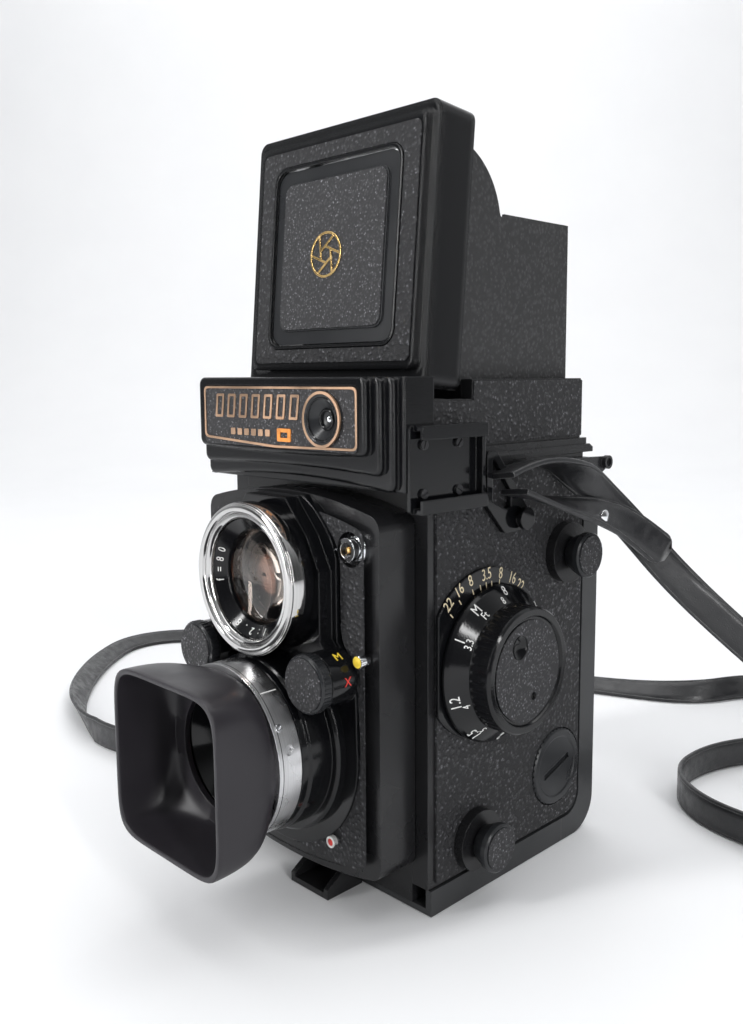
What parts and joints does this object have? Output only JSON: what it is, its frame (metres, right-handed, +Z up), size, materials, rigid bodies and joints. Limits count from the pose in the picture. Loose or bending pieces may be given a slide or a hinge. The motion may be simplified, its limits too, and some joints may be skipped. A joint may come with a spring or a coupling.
{
  "type": "twin lens reflex camera",
  "caption": "Black twin lens reflex camera for roll film with raised waist-level hood, light meter housing, side focus knob, square lens shade and neck strap.",
  "frame": {"origin": "mouth of the tripod socket, on the plane that the camera stands on", "axes": "+Z up, -Y where the lenses look, +X the focus knob side"},
  "size_m": [0.4069, 0.2853, 0.2039],
  "materials": {
    "cast_black": "satin black enamel",
    "sheet_black": "black enamel",
    "lid_black": "gloss black enamel with leather field",
    "knob_black": "gloss black",
    "skin": "coarse pebbled leatherette",
    "strap": "smooth black",
    "bright_aluminium": "brushed",
    "bright_chrome": "polished",
    "steel": "plain",
    "lens_glass": "coated",
    "clear_glass": "clear",
    "mirror": "front silvered",
    "spool": "moulded"
  },
  "bodies": {
    "camera_body": {"body_casting": "cast_black", "side_cover_right": "cast_black", "side_cover_left": "cast_black", "leatherette_right": "skin", "leatherette_left": "skin", "front_foot": "cast_black", "door_hinge": "sheet_black", "spool_bosses": "knob_black", "reflex_mirror": "mirror", "focusing_screen": "clear_glass", "hood_base": "cast_black", "nameplate_housing": "cast_black", "nameplate": "lid_black", "meter_cell_window": "lens_glass", "meter_window": "clear_glass", "accessory_shoe": "sheet_black", "strap_lugs": "steel", "battery": "steel", "depth_scale": "cast_black", "crank_plate": "cast_black", "neck_strap": "strap", "strap_ends": "strap"},
    "door": {"back_door": "cast_black", "tripod_socket": "steel"},
    "lock_dial": {"door_lock_dial": "bright_aluminium"},
    "latch": {"door_latch": "steel"},
    "plate": {"pressure_plate": "bright_aluminium"},
    "supply": {"supply_spool": "spool"},
    "takeup": {"takeup_spool": "spool"},
    "roller_low": {"film_roller_lower": "steel"},
    "roller_high": {"film_roller_upper": "steel"},
    "knob_low": {"spool_knob_lower": "knob_black"},
    "knob_high": {"spool_knob_upper": "knob_black"},
    "lid": {"hood_lid": "lid_black"},
    "flap": {"sports_flap": "lid_black"},
    "magnifier": {"magnifier_arm": "sheet_black", "magnifier_lens": "clear_glass"},
    "side_right": {"hood_side_right": "sheet_black"},
    "side_left": {"hood_side_left": "sheet_black"},
    "rear_wall": {"hood_back": "sheet_black"},
    "needle": {"meter_needle": "steel"},
    "battery_cap": {"battery_cover": "knob_black"},
    "focus": {"focus_knob": "cast_black", "focus_shaft": "steel"},
    "standard": {"front_panel": "cast_black", "escutcheon": "cast_black", "viewing_lens_barrel": "bright_chrome", "viewing_lens_glass": "lens_glass", "taking_lens_barrel": "cast_black", "taking_lens_glass": "lens_glass", "flash_sync_socket": "bright_chrome"},
    "crank": {"crank_arm": "sheet_black"},
    "handle": {"crank_handle": "knob_black"},
    "shade": {"shade_clamp_ring": "bright_aluminium", "lens_shade": "cast_black"},
    "speed": {"speed_dial": "cast_black"},
    "aperture": {"aperture_dial": "cast_black"},
    "sync": {"sync_lever": "bright_chrome"},
    "self_timer": {"self_timer_lever": "bright_chrome"},
    "release": {"release_button": "bright_chrome"}
  },
  "joints": [
    {"name": "door_open", "type": "hinge", "parent": "camera_body", "child": "door", "pos_m": [0, 0.0396, 0.112], "axis": [1, 0, 0], "range_deg": [0, 115]},
    {"name": "lock_turn", "type": "hinge", "parent": "door", "child": "lock_dial", "pos_m": [0, 0, 0], "axis": [0, 0, 1], "range_deg": [0, 90]},
    {"name": "latch_draw", "type": "slide", "parent": "door", "child": "latch", "axis": [0, 1, 0], "range_m": [0, 0.003]},
    {"name": "plate_press", "type": "slide", "parent": "door", "child": "plate", "axis": [0, 1, 0], "range_m": [0, 0.0006], "stiffness_N_per_m": 300},
    {"name": "supply_turn", "type": "hinge", "parent": "camera_body", "child": "supply", "pos_m": [0, -0.0185, 0.0156], "axis": [1, 0, 0], "continuous": true},
    {"name": "takeup_turn", "type": "hinge", "parent": "camera_body", "child": "takeup", "pos_m": [0, 0.0206, 0.0876], "axis": [1, 0, 0], "continuous": true},
    {"name": "roller_low_turn", "type": "hinge", "parent": "camera_body", "child": "roller_low", "pos_m": [0, 0.0316, 0.0112], "axis": [1, 0, 0], "continuous": true},
    {"name": "roller_high_turn", "type": "hinge", "parent": "camera_body", "child": "roller_high", "pos_m": [0, 0.0316, 0.076], "axis": [1, 0, 0], "continuous": true},
    {"name": "knob_low_pull", "type": "slide", "parent": "camera_body", "child": "knob_low", "axis": [1, 0, 0], "range_m": [0, 0.006]},
    {"name": "knob_high_pull", "type": "slide", "parent": "camera_body", "child": "knob_high", "axis": [1, 0, 0], "range_m": [0, 0.006]},
    {"name": "lid_tilt", "type": "hinge", "parent": "camera_body", "child": "lid", "pos_m": [0, -0.031, 0.133], "axis": [1, 0, 0], "range_deg": [0, 5]},
    {"name": "flap_swing", "type": "hinge", "parent": "lid", "child": "flap", "pos_m": [0, -0.02735, 0.19311], "axis": [-1, 0, 0], "range_deg": [-90, 0]},
    {"name": "magnifier_swing", "type": "hinge", "parent": "flap", "child": "magnifier", "pos_m": [0, -0.02638, 0.19042], "axis": [1, 0, 0], "range_deg": [0, 90]},
    {"name": "side_right_fold", "type": "hinge", "parent": "camera_body", "child": "side_right", "pos_m": [0.0308, 0, 0.1352], "axis": [0, -1, 0], "range_deg": [0, 90]},
    {"name": "side_left_fold", "type": "hinge", "parent": "camera_body", "child": "side_left", "pos_m": [-0.0308, 0, 0.1334], "axis": [0, 1, 0], "range_deg": [0, 90]},
    {"name": "rear_wall_fold", "type": "hinge", "parent": "camera_body", "child": "rear_wall", "pos_m": [0, 0.0326, 0.137], "axis": [1, 0, 0], "range_deg": [0, 90]},
    {"name": "needle_swing", "type": "hinge", "parent": "camera_body", "child": "needle", "pos_m": [0, -0.0425, 0.13], "axis": [0, 0, 1], "range_deg": [-10, 10]},
    {"name": "battery_cap_out", "type": "slide", "parent": "camera_body", "child": "battery_cap", "axis": [1, 0, 0], "range_m": [0, 0.008]},
    {"name": "focus_turn", "type": "hinge", "parent": "camera_body", "child": "focus", "pos_m": [0, -0.0122, 0.0625], "axis": [1, 0, 0], "range_deg": [0, 300]},
    {"name": "standard_out", "type": "slide", "parent": "camera_body", "child": "standard", "axis": [0, -1, 0], "range_m": [0, 0.007]},
    {"name": "crank_turn", "type": "hinge", "parent": "camera_body", "child": "crank", "pos_m": [-0.04, 0.004, 0.066], "axis": [1, 0, 0], "continuous": true},
    {"name": "handle_spin", "type": "hinge", "parent": "crank", "child": "handle", "pos_m": [-0.046, -0.022, 0.066], "axis": [1, 0, 0], "continuous": true},
    {"name": "shade_twist", "type": "hinge", "parent": "standard", "child": "shade", "pos_m": [0, -0.07, 0.0434], "axis": [0, 1, 0], "range_deg": [0, 45]},
    {"name": "speed_turn", "type": "hinge", "parent": "standard", "child": "speed", "pos_m": [-0.0227, -0.056, 0.0642], "axis": [0, 1, 0], "range_deg": [0, 180]},
    {"name": "aperture_turn", "type": "hinge", "parent": "standard", "child": "aperture", "pos_m": [0.0227, -0.056, 0.0642], "axis": [0, 1, 0], "range_deg": [0, 150]},
    {"name": "sync_swing", "type": "hinge", "parent": "standard", "child": "sync", "pos_m": [0, -0.0493, 0.0434], "axis": [0, 1, 0], "range_deg": [0, 10]},
    {"name": "self_timer_swing", "type": "hinge", "parent": "standard", "child": "self_timer", "pos_m": [0, -0.0493, 0.0434], "axis": [0, 1, 0], "range_deg": [0, 48]},
    {"name": "release_press", "type": "slide", "parent": "standard", "child": "release", "axis": [0, 1, 0], "range_m": [0, 0.003], "stiffness_N_per_m": 200}
  ],
  "couplings": [
    {"joint": "latch_draw", "follows": "lock_turn", "m_per_rad": 0.0019},
    {"joint": "takeup_turn", "follows": "crank_turn", "ratio": 1},
    {"joint": "focus_turn", "follows": "standard_out", "rad_per_m": 747.9}
  ]
}
